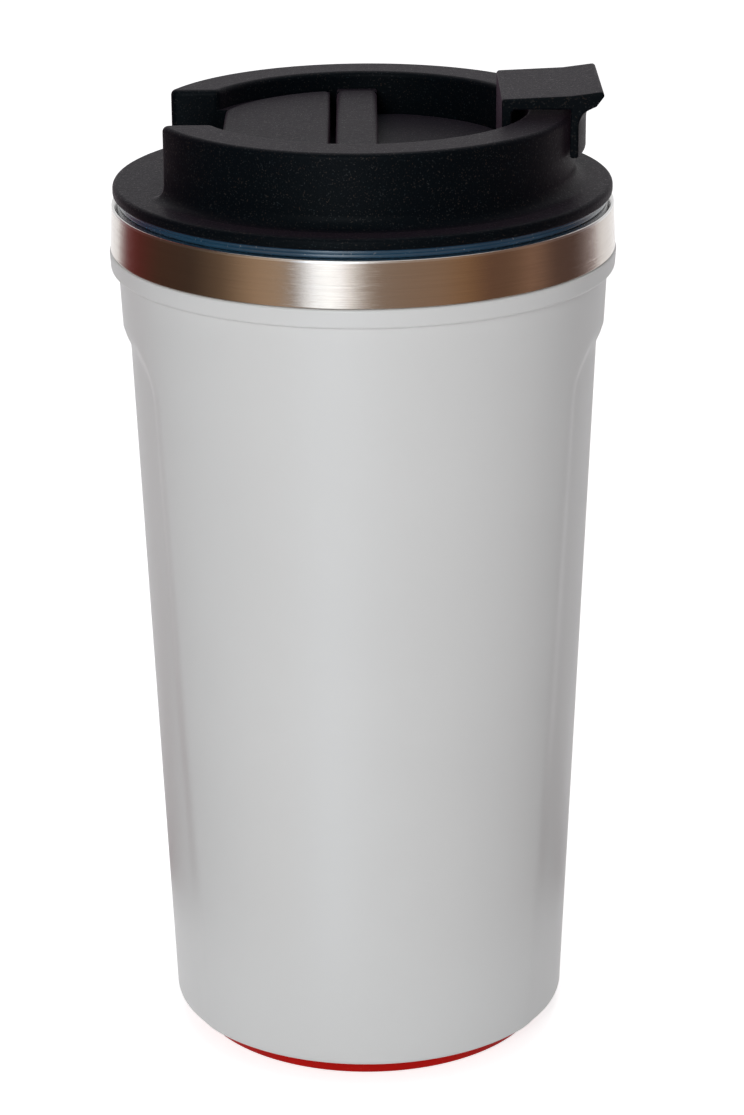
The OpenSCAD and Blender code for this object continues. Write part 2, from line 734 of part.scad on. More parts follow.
// Silicone stopper under the lever's plate, over the drink opening
module drink_stopper() {
    seat_z = well_floor_z + seat_lift;
    plug_in = 1.2;
    side_gap = 0.75;
    color("slategray") union() {
        translate([0, 0, seat_z]) linear_extrude(plate_low_z - seat_z)
            slot_2d(drink_x, drink_l, drink_w, 2);
        hull() {
            translate([0, 0, seat_z]) linear_extrude(eps)
                slot_2d(drink_x, drink_l, drink_w, -side_gap, $fn = 32);
            translate([0, 0, well_floor_z - plug_in]) linear_extrude(eps)
                slot_2d(drink_x, drink_l, drink_w, -side_gap - 0.8, $fn = 32);
        }
        for (side = [-1, 1]) translate([drink_x, side * drink_l / 3, plate_low_z - eps])
            cylinder(r = nub_r, h = nub_h);
    }
}

module vent_stopper() {
    seat_z = well_floor_z + seat_lift;
    color("slategray") union() {
        translate([vent_x, 0, seat_z]) cylinder(r = vent_d / 2 + 1.2, h = plate_low_z - seat_z);
        translate([vent_x, 0, plate_low_z - eps]) cylinder(r = nub_r, h = nub_h);
    }
}

outer_shell();
neck_seal();
inner_cup();
outer_cup_wall();
outer_cup_base();
vacuum_getter();
vessel_cushion();
base_cap();
base_screws();
valve_bridge();
vent_valve();
suction_pad();
pad_carrier();
retaining_clip();
lid_gasket();
lid_top();
lid_plug();
deck_cover();
hinge_pin();
flip_lever();
drink_stopper();
vent_stopper();
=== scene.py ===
# %% [markdown]
# # An insulated travel mug
# A tapered white sleeve over a steel vacuum cup, with a black screw lid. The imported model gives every
# size and place, and this script gives the visible pieces their rounded edges, grips and finishes.

# %% Load the frame
import math

import bmesh
import bpy
from mathutils import Matrix, Vector


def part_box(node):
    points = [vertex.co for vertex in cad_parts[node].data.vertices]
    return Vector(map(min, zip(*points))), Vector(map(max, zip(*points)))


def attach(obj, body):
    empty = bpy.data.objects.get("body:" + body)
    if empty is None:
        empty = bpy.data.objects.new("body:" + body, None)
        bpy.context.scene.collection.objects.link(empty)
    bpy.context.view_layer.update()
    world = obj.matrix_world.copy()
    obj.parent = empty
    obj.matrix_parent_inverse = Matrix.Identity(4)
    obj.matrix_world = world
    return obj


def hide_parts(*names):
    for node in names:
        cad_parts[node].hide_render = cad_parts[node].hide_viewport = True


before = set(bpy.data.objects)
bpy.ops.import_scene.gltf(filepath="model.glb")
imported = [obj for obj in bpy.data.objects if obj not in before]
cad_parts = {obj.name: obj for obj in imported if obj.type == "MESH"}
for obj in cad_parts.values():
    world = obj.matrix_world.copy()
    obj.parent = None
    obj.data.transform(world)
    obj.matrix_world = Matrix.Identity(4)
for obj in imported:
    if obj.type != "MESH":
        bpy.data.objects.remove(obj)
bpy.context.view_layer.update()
MM = 0.001
STEPS = 192

# %% Read the main sizes off the frame
def low(node):
    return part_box(node)[0]


def high(node):
    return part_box(node)[1]


lip_top = high("outer_shell").z
lip_r = high("outer_shell").x
shell_low = low("outer_shell").z
rim_top = high("inner_cup").z
flange_low = high("lid_gasket").z
flange_r = high("lid_top").x
collar_top = high("lid_top").z
deck_top = high("deck_cover").z
floor_top = low("deck_cover").z
deck_low_x = low("deck_cover").x
deck_high_x = high("deck_cover").x
deck_r = math.hypot(high("deck_cover").y, deck_high_x)
arch_top = high("flip_lever").z
tip_x = high("flip_lever").x
hinge = (low("hinge_pin") + high("hinge_pin")) / 2
print("lip, rim, collar and lever tops in mm:", [round(z / MM, 2) for z in (lip_top, rim_top, collar_top, arch_top)])

# %% [markdown]
# ## Shader maths
# A finish is a formula over the surface. Wrapping a socket in a small class lets the formula be written
# as plain Python, and each operator adds its own Math node.

# %% Shader maths helper
class Sock:
    """A value on a surface, with Python's operators."""

    def __init__(self, tree, socket):
        self.tree = tree
        self.socket = socket

    def _math(self, operation, first, second):
        return self.tree.make("ShaderNodeMath", {"operation": operation}, {0: first, 1: second})

    def __add__(self, other):
        return self._math("ADD", self, other)

    def __sub__(self, other):
        return self._math("SUBTRACT", self, other)

    def __mul__(self, other):
        return self._math("MULTIPLY", self, other)

    def __truediv__(self, other):
        return self._math("DIVIDE", self, other)

    def __gt__(self, other):
        return self._math("GREATER_THAN", self, other)

    __radd__ = __add__


class Finish:
    """A material and the few calls that build it."""

    def __init__(self, name):
        self.material = bpy.data.materials.new(name)
        self.material.use_nodes = True
        self.nodes = self.material.node_tree.nodes
        self.links = self.material.node_tree.links
        self.surface = self.nodes["Principled BSDF"]

    def make(self, kind, settings=None, inputs=None, output=0):
        node = self.nodes.new(kind)
        for key, value in (settings or {}).items():
            if key == "stops":
                ramp = node.color_ramp.elements
                while len(ramp) < len(value):
                    ramp.new(0.5)
                for element, (place, colour) in zip(ramp, value):
                    element.position = place
                    element.color = (*colour, 1)
            else:
                setattr(node, key, value)
        for key, value in (inputs or {}).items():
            self.feed(node.inputs[key], value)
        return Sock(self, node.outputs[output])

    def feed(self, target, value):
        if isinstance(value, Sock):
            self.links.new(value.socket, target)
        elif isinstance(value, tuple) and len(value) == 3 and target.type == "RGBA":
            target.default_value = (*value, 1)
        else:
            target.default_value = value

    def set(self, **values):
        for name, value in values.items():
            self.feed(self.surface.inputs[name.replace("_", " ")], value)

    def place(self, scale=(1, 1, 1)):
        """Object coordinates, stretched by scale."""
        coordinates = self.make("ShaderNodeTexCoord", output="Object")
        return self.make("ShaderNodeMapping", {}, {"Vector": coordinates, "Scale": scale})

    def noise(self, scale, detail=2, stretch=(1, 1, 1), roughness=0.5):
        return self.make("ShaderNodeTexNoise", {}, {"Vector": self.place(stretch), "Scale": scale,
                                                    "Detail": detail, "Roughness": roughness})

    def mix(self, factor, first, second):
        node = self.nodes.new("ShaderNodeMix")
        node.data_type = "RGBA"
        self.feed(node.inputs[0], factor)
        self.feed(node.inputs[6], first)
        self.feed(node.inputs[7], second)
        return Sock(self, node.outputs[2])

    def bump(self, height, distance, strength=1.0, under=None):
        inputs = {"Height": height, "Distance": distance, "Strength": strength}
        if under is not None:
            inputs["Normal"] = under
        return self.make("ShaderNodeBump", {}, inputs)


# %% [markdown]
# ## The sleeve's white plastic
# Moulded plastic with a satin skin. It isn't one flat white: the mould leaves a faint orange peel, hands
# leave patches that shine a little more, and fine handling scuffs run at all angles.

# %% White satin plastic
def white_plastic():
    f = Finish("white_satin_plastic")
    clouds = f.noise(28, 3)
    peel = f.noise(900, 2)
    handling = f.noise(140, 4, (1, 1, 0.6), 0.6)
    tone = f.mix(clouds, (0.678, 0.678, 0.677), (0.718, 0.718, 0.717))
    f.set(Base_Color=tone, Roughness=clouds * 0.10 + 0.30 + handling * 0.08,
          Normal=f.bump(peel, 0.00004, 0.35), Specular_IOR_Level=0.35)
    return f.material


# %% [markdown]
# ## The lid's black plastic
# The mould is spark-eroded, so the skin is a fine sandy grain. From low angles it turns soft grey. Single
# grains are painted in as tiny blue and orange glints, a painted highlight, and they are a little glossier.

# %% Grained black plastic
def black_plastic():
    f = Finish("grained_black_plastic")
    grain = f.noise(1500, 3, (1, 1, 1), 0.65)
    fine = f.noise(3400, 1)
    clouds = f.noise(60, 2)
    # Painted highlight: the chosen grains get a blue or orange glint colour in the base colour, and a lower
    # roughness.
    painted_glint_and_gloss = fine > 0.66
    painted_glint_tone = f.mix(f.noise(700, 1), (0.010, 0.060, 0.085), (0.110, 0.050, 0.020))
    tone = f.mix(clouds, (0.0006, 0.0020, 0.0032), (0.0012, 0.0032, 0.0050))
    f.set(Base_Color=f.mix(painted_glint_and_gloss * 0.3, tone, painted_glint_tone), Sheen_Weight=0.035, Sheen_Roughness=0.45,
          Sheen_Tint=(1.0, 0.62, 0.88, 1),
          Roughness=0.42 + grain * 0.14 - painted_glint_and_gloss * 0.16,
          Normal=f.bump(grain, 0.00008, 0.7), Specular_IOR_Level=0.035)
    return f.material


# %% [markdown]
# ## Steel
# The band is brushed round the axis, so each streak is long sideways and hair-thin upwards. Stretching
# the object coordinates does that. The streaks tilt the surface up and down, which smears reflections
# into upright bars as on the real band.

# %% Brushed and polished steel
def brushed_steel():
    f = Finish("brushed_steel_band")
    hair = f.noise(1, 3, (55, 55, 3200), 0.7)
    wide = f.noise(1, 2, (18, 18, 1500), 0.5)
    stain = f.noise(45, 3)
    warm = f.mix(stain, (0.47, 0.425, 0.385), (0.60, 0.55, 0.50))
    f.set(Base_Color=f.mix(hair * 0.5, warm, (0.34, 0.295, 0.26)), Metallic=1.0,
          Roughness=0.09 + hair * 0.09 + wide * 0.04,
          Normal=f.bump(hair * 0.7 + wide * 0.5, 0.00007, 0.9))
    return f.material


def polished_steel(name, tint, rough):
    f = Finish(name)
    streak = f.noise(1, 2, (30, 30, 900))
    cloud = f.noise(70, 2)
    f.set(Base_Color=f.mix(cloud * 0.5, tint, tuple(c * 0.86 for c in tint)), Metallic=1.0,
          Roughness=streak * 0.12 + rough, Normal=f.bump(streak, 0.00003, 0.3))
    return f.material


# %% [markdown]
# ## Silicone and the hidden mouldings
# Silicone has a soft skin with faint specks of dust. The blue gasket is glossy where it is squeezed out
# of a polished mould, and the red foot is duller.

# %% Silicone, plain mouldings and sintered metal
def silicone(name, deep, pale, rough, coat=0.0, gloss=0.5, dusty=0.2):
    f = Finish(name)
    cloud = f.noise(90, 3)
    dust = f.noise(2400, 1) > 0.73
    skin = f.noise(1100, 2)
    f.set(Base_Color=f.mix(dust * dusty, f.mix(cloud, deep, pale), (0.42, 0.40, 0.38)),
          Roughness=cloud * 0.12 + rough + dust * 0.2, Normal=f.bump(skin, 0.00004, 0.3),
          Coat_Weight=coat, Coat_Roughness=0.12, Specular_IOR_Level=gloss)
    return f.material


def moulding(name, tone, rough=0.45):
    f = Finish(name)
    cloud = f.noise(120, 2)
    grain = f.noise(1500, 2)
    f.set(Base_Color=f.mix(cloud, tone, tuple(c * 1.35 for c in tone)), Roughness=cloud * 0.15 + rough,
          Normal=f.bump(grain, 0.00005, 0.4))
    return f.material


WHITE = white_plastic()
BLACK = black_plastic()
STEEL = brushed_steel()
CUP_STEEL = polished_steel("electropolished_steel", (0.62, 0.615, 0.61), 0.16)
SCREW_STEEL = polished_steel("bright_screw_steel", (0.66, 0.66, 0.67), 0.2)
BLUE = silicone("blue_gasket_silicone", (0.006, 0.035, 0.07), (0.012, 0.062, 0.115), 0.16, 0.6)
RED = silicone("red_foot_silicone", (0.40, 0.003, 0.0015), (0.54, 0.006, 0.003), 0.34, 0.0, 0.1, 0.08)
GREY = silicone("grey_stopper_silicone", (0.15, 0.16, 0.17), (0.21, 0.22, 0.23), 0.4)
CLEAR = silicone("milky_silicone", (0.66, 0.66, 0.65), (0.74, 0.74, 0.73), 0.4)
DARK = moulding("dark_inner_plastic", (0.045, 0.044, 0.048))
GETTER = moulding("sintered_getter", (0.17, 0.165, 0.16), 0.7)

NODE_FINISH = {
    "outer_shell": WHITE, "base_cap": WHITE, "neck_seal": CLEAR, "inner_cup": CUP_STEEL,
    "outer_cup_wall": STEEL, "outer_cup_base": CUP_STEEL, "vacuum_getter": GETTER, "vessel_cushion": GREY,
    "base_screws": SCREW_STEEL, "valve_bridge": DARK, "vent_valve": RED, "suction_pad": RED,
    "pad_carrier": DARK, "retaining_clip": SCREW_STEEL, "lid_gasket": BLUE, "lid_top": BLACK,
    "lid_plug": DARK, "deck_cover": BLACK, "hinge_pin": SCREW_STEEL, "flip_lever": BLACK,
    "drink_stopper": GREY, "vent_stopper": GREY,
}
for node, finish in NODE_FINISH.items():
    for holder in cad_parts[node].material_slots:
        holder.material = finish
print(len(NODE_FINISH), "nodes have a finish")

# %% [markdown]
# ## Shaping helpers
# Most of the mug is turned, so a piece starts as an outline of radius and height that is spun round the
# axis. Its sharp rings are then found by radius and height and bevelled. Flat faces keep straight
# normals beside the rounded edges through a Weighted Normal modifier.

# %% Spin, bevel and finish
def spin_outline(outline, steps=STEPS):
    """Spins (radius, height) points a full turn. An outline that ends on the axis is left open there."""
    bm = bmesh.new()
    verts = [bm.verts.new((r, 0, z)) for r, z in outline]
    on_axis = outline[0][0] == 0 and outline[-1][0] == 0
    pairs = list(zip(verts, verts[1:])) + ([] if on_axis else [(verts[-1], verts[0])])
    edges = [bm.edges.new(pair) for pair in pairs]
    bmesh.ops.spin(bm, geom=verts + edges, cent=(0, 0, 0), axis=(0, 0, 1), dvec=(0, 0, 0),
                   angle=math.tau, steps=steps, use_merge=True)
    bmesh.ops.remove_doubles(bm, verts=bm.verts, dist=1e-6)
    bmesh.ops.recalc_face_normals(bm, faces=bm.faces)
    return bm


def near(a, b):
    return abs(a - b) < 2e-5


def ring_edges(bm, radius, height):
    """The edges of the ring at that radius and height."""
    def on_ring(v):
        return near(math.hypot(v.co.x, v.co.y), radius) and near(v.co.z, height)
    return [e for e in bm.edges if on_ring(e.verts[0]) and on_ring(e.verts[1])]


def round_off(bm, edges, radius, segments=4):
    bmesh.ops.bevel(bm, geom=edges, offset=radius, offset_type="OFFSET", segments=segments, profile=0.5,
                    affect="EDGES", material=-1, clamp_overlap=True)


def add_piece(bm, name, node, body, finish, sharp=40):
    mesh = bpy.data.meshes.new(name)
    bm.to_mesh(mesh)
    bm.free()
    for polygon in mesh.polygons:
        polygon.use_smooth = True
    mesh.set_sharp_from_angle(angle=math.radians(sharp))
    mesh.materials.append(finish)
    piece = bpy.data.objects.new(name, mesh)
    bpy.context.scene.collection.objects.link(piece)
    normals = piece.modifiers.new("straight_normals", "WEIGHTED_NORMAL")
    normals.keep_sharp = True
    normals.weight = 50
    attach(piece, body)
    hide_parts(node)
    print(name, len(mesh.polygons), "faces")
    return piece


def arc(centre, radius, start, end, count=6):
    """Points of an arc in (radius, height), in degrees."""
    turns = [math.radians(start + (end - start) * i / count) for i in range(count + 1)]
    return [(centre[0] + radius * math.cos(t), centre[1] + radius * math.sin(t)) for t in turns]


# %% [markdown]
# ## The sleeve
# On the real mug the grips are pressed into the sleeve's sides: an arch with soft shoulders that
# fades out towards the foot. The sleeve is spun with many close rows, and each outer point then moves in
# by the grip's depth times a smooth step across the arch's edge.

# %% Sleeve with its two grips
LIP_STEP = 1.5 * MM
LIP_DROP = 3.4 * MM
FOOT_R = 36.8 * MM
WALL = 1.25 * MM
GRIP_HALF = 21 * MM
GRIP_DROP = 12 * MM
GRIP_CORNER = 8 * MM
GRIP_DEPTH = 1.15 * MM
GRIP_FOOT_DEPTH = 0.33 * MM
SHOULDER = 2.1 * MM
lip_low = lip_top - LIP_DROP
neck_r = lip_r - LIP_STEP
grip_top = lip_low - GRIP_DROP


def shell_r(z):
    return FOOT_R + (neck_r - FOOT_R) * (z - shell_low) / (lip_low - shell_low)


def grip_cut(z):
    return GRIP_FOOT_DEPTH + (GRIP_DEPTH - GRIP_FOOT_DEPTH) * (z - shell_low) / (grip_top - shell_low)


def bore_r(z):
    return shell_r(z) - grip_cut(z) - WALL


def arch_share(y, z):
    """1 inside a grip's arch and 0 outside it, with a smooth shoulder between."""
    side = abs(y) - (GRIP_HALF - GRIP_CORNER)
    up = z - (grip_top - GRIP_CORNER)
    outside = math.hypot(max(side, 0), max(up, 0)) + min(max(side, up), 0) - GRIP_CORNER
    t = min(max(0.5 - outside / (2 * SHOULDER), 0), 1)
    return t * t * (3 - 2 * t)


def sleeve():
    rows = 124
    heights = [shell_low + 0.9 * MM + (lip_low - shell_low - 0.9 * MM) * i / rows for i in range(rows + 1)]
    outline = ([(bore_r(shell_low), shell_low)]
               + arc((shell_r(shell_low) - 0.9 * MM, shell_low + 0.9 * MM), 0.9 * MM, -90, -15, 5)
               + [(shell_r(z), z) for z in heights]
               + arc((lip_r - 0.75 * MM, lip_low + 0.6 * MM), 0.6 * MM, -90, 0, 5)
               + arc((lip_r - 0.45 * MM, lip_top - 0.45 * MM), 0.45 * MM, 0, 90, 4)
               + [(bore_r(lip_top), lip_top)])
    bm = spin_outline(outline, 288)
    for v in bm.verts:
        radius = math.hypot(v.co.x, v.co.y)
        if v.co.z < lip_low - 0.3 * MM and radius > bore_r(v.co.z) + 0.6 * MM:
            new = radius - grip_cut(v.co.z) * arch_share(v.co.y, v.co.z)
            v.co.x *= new / radius
            v.co.y *= new / radius
    return add_piece(bm, "sleeve", "outer_shell", "mug", WHITE, 50)


sleeve()

# %% [markdown]
# ## The steel cup
# The outer wall folds out over the sleeve's lip as the bare band, and the inner wall folds over it as the
# rim that you drink from. The mouth's three thread ribs are small outlines spun part of a turn while
# they climb, which the spin operator's offset does.

# %% Steel band and jacket
STEEL_T = 0.5 * MM
BAND_LOW_R = lip_r - 0.15 * MM
BAND_TOP_R = BAND_LOW_R - 0.4 * MM


def steel_band():
    top = rim_top - STEEL_T
    base = low("outer_cup_wall").z
    outline = [(bore_r(base) - 0.3 * MM, base), (bore_r(lip_top) - 0.3 * MM, lip_top),
               (BAND_LOW_R, lip_top), (BAND_TOP_R, top), (BAND_TOP_R - STEEL_T, top),
               (BAND_LOW_R - STEEL_T, lip_top + STEEL_T), (bore_r(lip_top) - 0.8 * MM, lip_top + STEEL_T),
               (bore_r(base) - 0.8 * MM, base)]
    bm = spin_outline(outline, 288)
    round_off(bm, ring_edges(bm, BAND_LOW_R, lip_top), 0.35 * MM, 4)
    return add_piece(bm, "steel_band", "outer_cup_wall", "mug", STEEL)


# %% Inner cup with the rim and the mouth's thread
MOUTH_R = 38.6 * MM
MOUTH_DEPTH = 15.6 * MM
SHOULDER_H = 7 * MM
CUP_FILLET = 7 * MM
LEAD = 12 * MM
STARTS = 3
RIB_H = 1.7 * MM
RIB_FLAT = 0.7 * MM
mouth_rib_z = rim_top - 7 * MM + RIB_H + 0.15 * MM


def inner_cup():
    floor_z = low("inner_cup").z + STEEL_T
    wall_top = rim_top - MOUTH_DEPTH - SHOULDER_H
    bottom_r = bore_r(floor_z) - 2.6 * MM
    side_r = bore_r(wall_top) - 2.6 * MM
    fillet = CUP_FILLET + STEEL_T
    outline = ([(0, floor_z - STEEL_T)]
               + arc((bottom_r - fillet, floor_z - STEEL_T + fillet), fillet, -90, 0, 8)
               + [(side_r, wall_top), (MOUTH_R + STEEL_T, rim_top - MOUTH_DEPTH),
                  (MOUTH_R + STEEL_T, rim_top - STEEL_T), (BAND_TOP_R, rim_top - STEEL_T)]
               + arc((BAND_TOP_R - 0.35 * MM, rim_top - 0.35 * MM), 0.35 * MM, 0, 90, 5)
               + arc((MOUTH_R + 0.4 * MM, rim_top - 0.4 * MM), 0.4 * MM, 90, 180, 5)
               + [(MOUTH_R, rim_top - MOUTH_DEPTH), (side_r - STEEL_T, wall_top)]
               + arc((bottom_r - fillet, floor_z - STEEL_T + fillet), CUP_FILLET, 0, -90, 8)
               + [(0, floor_z)])
    bm = spin_outline(outline)
    steps = 22
    arc_deg = 66
    inset = (RIB_H - RIB_FLAT) / 2
    tip = MOUTH_R - 0.9 * MM
    root = MOUTH_R + 0.3 * MM
    for start in range(STARTS):
        turn = Matrix.Rotation(math.tau * start / STARTS, 4, "Z")
        points = [(root, 0), (tip, inset), (tip, RIB_H - inset), (root, RIB_H)]
        verts = [bm.verts.new(turn @ Vector((r, 0, mouth_rib_z + z))) for r, z in points]
        first = bm.faces.new(verts)
        bmesh.ops.spin(bm, geom=[first] + list(first.edges) + verts, cent=(0, 0, 0), axis=(0, 0, 1),
                       dvec=(0, 0, LEAD * arc_deg / 360 / steps), angle=math.radians(arc_deg),
                       steps=steps, use_merge=False, use_duplicate=False)
    bmesh.ops.recalc_face_normals(bm, faces=bm.faces)
    return add_piece(bm, "inner_cup_wall", "inner_cup", "mug", CUP_STEEL)


steel_band()
inner_cup()

# %% [markdown]
# ## The gasket and the foot
# Both are soft rings with well rounded edges. The gasket has a shallow groove round its side, where it is
# squeezed, and the foot has a hollow underside that grips the table.

# %% Lid gasket and suction foot
GASKET_BORE = 37.4 * MM


def gasket():
    outer = high("lid_gasket").x
    base = rim_top
    height = flange_low - base
    outline = ([(GASKET_BORE, base), (outer - 0.55 * MM, base)]
               + arc((outer - 0.55 * MM, base + 0.5 * MM), 0.5 * MM, -90, 20, 6)
               + [(outer - 0.22 * MM, base + height * 0.52)]
               + arc((outer - 0.5 * MM, flange_low - 0.42 * MM), 0.42 * MM, -10, 90, 6)
               + [(GASKET_BORE, flange_low)])
    return add_piece(spin_outline(outline, 288), "gasket_ring", "lid_gasket", "lid_seal",
                     BLUE, 60)


def suction_foot():
    radius = high("suction_pad").x - 0.8 * MM
    rim = 3.5 * MM
    hollow = 1.2 * MM
    bore = 2.5 * MM
    hub = 21 * MM
    top = high("suction_pad").z
    outline = ([(bore, hollow + 0.4 * MM), (radius - 3.6 * MM, hollow), (radius - 1.6 * MM, 0),
                (radius - 0.4 * MM, 0)]
               + arc((radius - 0.1 * MM, 0.55 * MM), 0.55 * MM, -80, 0, 5)
               + arc((radius + 0.2 * MM, rim - 0.6 * MM), 0.6 * MM, 0, 90, 5)
               + [(hub, rim), (hub, top), (bore, top)])
    return add_piece(spin_outline(outline), "suction_foot", "suction_pad", "pad", RED, 60)


gasket()
suction_foot()

# %% [markdown]
# ## The lid's flange and well
# The flange is a flat disc. The well's floor stands a little higher inside the collar, with an
# opening to drink from and a small air vent. The disc is cut along a plane at the notch, the faces
# on the inner side are lifted, and two cutters open the holes.

# %% Flange, well floor and openings
COLLAR_R = 37.6 * MM
COLLAR_WALL = 8.4 * MM
WELL_R = COLLAR_R - COLLAR_WALL
FLANGE_T = 2 * MM
NOTCH_HALF = 13.8 * MM
DRINK_X = 18.5 * MM
DRINK_L = 14 * MM
DRINK_W = 8 * MM
VENT_X = 8.2 * MM
VENT_R = 1.3 * MM
flange_top = flange_low + FLANGE_T
notch_x = deck_low_x - 0.3 * MM


def lift(bm, faces, height):
    """Raises a patch of faces and leaves upright walls round it."""
    made = bmesh.ops.extrude_face_region(bm, geom=faces)
    bmesh.ops.translate(bm, verts=[g for g in made["geom"] if isinstance(g, bmesh.types.BMVert)],
                        vec=(0, 0, height))
    left = [f for f in faces if f.is_valid]
    if left:
        bmesh.ops.delete(bm, geom=left, context="FACES")
    return [g for g in made["geom"] if isinstance(g, bmesh.types.BMFace)]


def upright_slot(x, length, width):
    """A closed slot-shaped block that is long along Y, for cutting or stopping an opening."""
    bm = bmesh.new()
    bmesh.ops.create_cube(bm, size=1, matrix=Matrix.Diagonal((width, length, 20 * MM, 1)))
    upright = [e for e in bm.edges if abs((e.verts[0].co - e.verts[1].co).normalized().z) > 0.9]
    bmesh.ops.bevel(bm, geom=upright, offset=width * 0.4999, offset_type="OFFSET", segments=16, profile=0.5,
                    affect="EDGES", material=-1)
    bmesh.ops.translate(bm, verts=bm.verts, vec=(x, 0, flange_top))
    return bm


def bare_object(bm, name):
    mesh = bpy.data.meshes.new(name)
    bm.to_mesh(mesh)
    bm.free()
    thing = bpy.data.objects.new(name, mesh)
    bpy.context.scene.collection.objects.link(thing)
    return thing


def cut(bm, tools):
    """The mesh of bm with every tool's shape cut out of it, back as a bmesh."""
    target = bare_object(bm, "cut_target")
    for tool in tools:
        modifier = target.modifiers.new("cut", "BOOLEAN")
        modifier.operation = "DIFFERENCE"
        modifier.solver = "EXACT"
        modifier.object = tool
    bpy.context.view_layer.update()
    done = target.evaluated_get(bpy.context.evaluated_depsgraph_get()).to_mesh()
    result = bmesh.new()
    result.from_mesh(done)
    for thing in [target, *tools]:
        bpy.data.objects.remove(thing)
    return result


def flange_disc():
    outline = [(0, flange_low), (flange_r, flange_low), (flange_r, flange_top),
               (WELL_R + 1 * MM, flange_top), (0, flange_top)]
    bm = spin_outline(outline)
    round_off(bm, ring_edges(bm, flange_r, flange_top), 0.85 * MM, 5)
    round_off(bm, ring_edges(bm, flange_r, flange_low), 0.4 * MM, 3)
    top = [f for f in bm.faces if f.normal.z > 0.9 and f.calc_center_median().xy.length < WELL_R + 1 * MM]
    bmesh.ops.bisect_plane(bm, geom=list({g for f in top for g in (f, *f.edges, *f.verts)}),
                           plane_co=(notch_x, 0, 0), plane_no=(1, 0, 0), dist=1e-7)
    floor = [f for f in bm.faces if f.normal.z > 0.9 and f.calc_center_median().x > notch_x
             and f.calc_center_median().xy.length < WELL_R + 1 * MM]
    lift(bm, floor, floor_top - flange_top)
    bmesh.ops.recalc_face_normals(bm, faces=bm.faces)
    drink = bare_object(upright_slot(DRINK_X, DRINK_L, DRINK_W), "drink_cut")
    vent = bare_object(upright_slot(VENT_X, 2 * VENT_R, 2 * VENT_R), "vent_cut")
    return cut(bm, [drink, vent])


# %% [markdown]
# ## The collar
# The collar is a C in plan, open at the notch. It starts as a face of that outline, wider than the
# wall by the foot's fillet. Insetting the face while it rises draws the fillet, the wall and the rounded
# top in turn, and carries them round the notch's corners as the mould does.

# %% Collar with its fillet and rounded top
FOOT_FILLET = 2.4 * MM
TOP_ROUND = 0.95 * MM
CORNER = 1.3 * MM


def c_outline(bm, grow, height):
    """A C-shaped face, grown outwards on every side, with its four corners rounded."""
    outer = COLLAR_R + grow
    inner = WELL_R - grow
    corner = CORNER + grow
    corner_y = NOTCH_HALF - grow + corner
    outer_x = -math.sqrt((outer - corner) ** 2 - corner_y ** 2)
    inner_x = -math.sqrt((inner + corner) ** 2 - corner_y ** 2)
    outer_turn = math.degrees(math.atan2(corner_y, outer_x))
    inner_turn = math.degrees(math.atan2(corner_y, inner_x))
    points = (arc((0, 0), outer, -outer_turn, outer_turn, 150)
              + arc((outer_x, corner_y), corner, outer_turn, 270, 8)[1:]
              + arc((inner_x, corner_y), corner, 270, 180 + inner_turn, 8)
              + arc((0, 0), inner, inner_turn, -inner_turn, 150)[1:]
              + arc((inner_x, -corner_y), corner, 180 - inner_turn, 90, 8)[1:]
              + arc((outer_x, -corner_y), corner, 90, 360 - outer_turn, 8))
    face = bm.faces.new([bm.verts.new((x, y, height)) for x, y in points[:-1]])
    face.normal_update()
    if face.normal.z < 0:
        face.normal_flip()
    return face


def climb(bm, face, steps):
    """Insets a face while it rises, once for each (inset, rise)."""
    for inset, rise in steps:
        bmesh.ops.inset_region(bm, faces=[face], thickness=inset, depth=rise, use_even_offset=True,
                               use_boundary=True)


def hollow_steps(radius, count):
    turns = [math.pi / 2 * i / count for i in range(count + 1)]
    return [(radius * (math.sin(b) - math.sin(a)), radius * (math.cos(a) - math.cos(b)))
            for a, b in zip(turns, turns[1:])]


def round_steps(radius, count):
    turns = [math.pi / 2 * i / count for i in range(count + 1)]
    return [(radius * (math.cos(a) - math.cos(b)), radius * (math.sin(b) - math.sin(a)))
            for a, b in zip(turns, turns[1:])]


def collar():
    bm = bmesh.new()
    sunk = 0.4 * MM
    face = c_outline(bm, FOOT_FILLET, flange_top - sunk)
    base = bmesh.ops.extrude_face_region(bm, geom=[face], use_keep_orig=True)
    top = [g for g in base["geom"] if isinstance(g, bmesh.types.BMFace)][0]
    bmesh.ops.translate(bm, verts=list(top.verts), vec=(0, 0, sunk))
    if top.normal.z < 0:
        top.normal_flip()
    straight = collar_top - flange_top - FOOT_FILLET - TOP_ROUND
    climb(bm, top, hollow_steps(FOOT_FILLET, 7))
    climb(bm, top, [(0, straight)])
    climb(bm, top, round_steps(TOP_ROUND, 6))
    bmesh.ops.recalc_face_normals(bm, faces=bm.faces)
    return bm


# %% [markdown]
# ## Ledge and hinge saddles
# A ledge runs round the panel on the notch side. A saddle on each side of the well holds one end of the
# hinge pin.

# %% Ledge and saddles
LEDGE_R = WELL_R - 2.8 * MM
LEDGE_DROP = 3.6 * MM
RIDGE_HALF = 3.65 * MM


